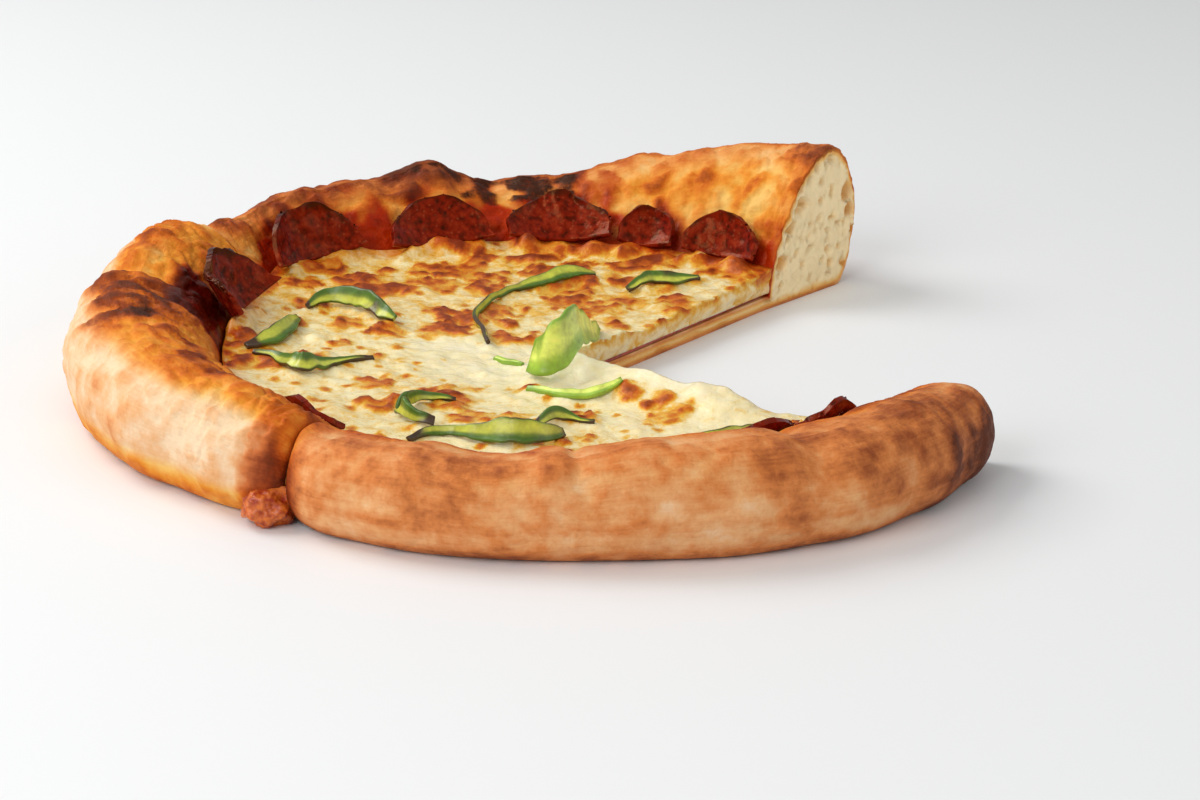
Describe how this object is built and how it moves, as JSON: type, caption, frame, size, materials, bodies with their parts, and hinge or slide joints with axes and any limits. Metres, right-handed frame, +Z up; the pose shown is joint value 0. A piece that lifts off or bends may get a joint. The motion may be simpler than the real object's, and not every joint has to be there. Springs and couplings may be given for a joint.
{
  "type": "pizza",
  "caption": "Round deep-rimmed pizza cut into large slices with one slice gone, topped with browned cheese, pepperoni against the rim and strips of green pepper.",
  "frame": {"origin": "middle of the footprint, on the surface that the pizza lies on", "axes": "+Z up, -Y towards the eater, the missing slice at +X"},
  "size_m": [0.2858, 0.3104, 0.0529],
  "materials": {
    "baked_crust": "matt, floury, browned",
    "tomato": "moist",
    "browned_cheese": "soft sheen with browned blisters",
    "pepperoni": "oily",
    "green_pepper": "moist",
    "tomato_and_cheese": "moist"
  },
  "bodies": {
    "root": {"dough_back": "baked_crust", "dough_front": "baked_crust", "dough_left": "baked_crust", "melted_cheese": "browned_cheese", "pepper_centre_leaf": "green_pepper", "pepper_centre_stem": "green_pepper", "pepper_centre_strip": "green_pepper", "pepper_far": "green_pepper", "pepper_front_curl": "green_pepper", "pepper_front_knob": "green_pepper", "pepper_front_long": "green_pepper", "pepper_gap_edge": "green_pepper", "pepper_left_branch": "green_pepper", "pepper_left_lower": "green_pepper", "pepper_left_upper": "green_pepper", "pepper_middle": "green_pepper", "pepperoni_back_1": "pepperoni", "pepperoni_back_2": "pepperoni", "pepperoni_back_3": "pepperoni", "pepperoni_back_4": "pepperoni", "pepperoni_back_5": "pepperoni", "pepperoni_front_1": "pepperoni", "pepperoni_front_2": "pepperoni", "pepperoni_left_1": "pepperoni", "pepperoni_left_2": "pepperoni", "seam_spill": "tomato_and_cheese", "tomato_sauce": "tomato"}
  },
  "joints": []
}
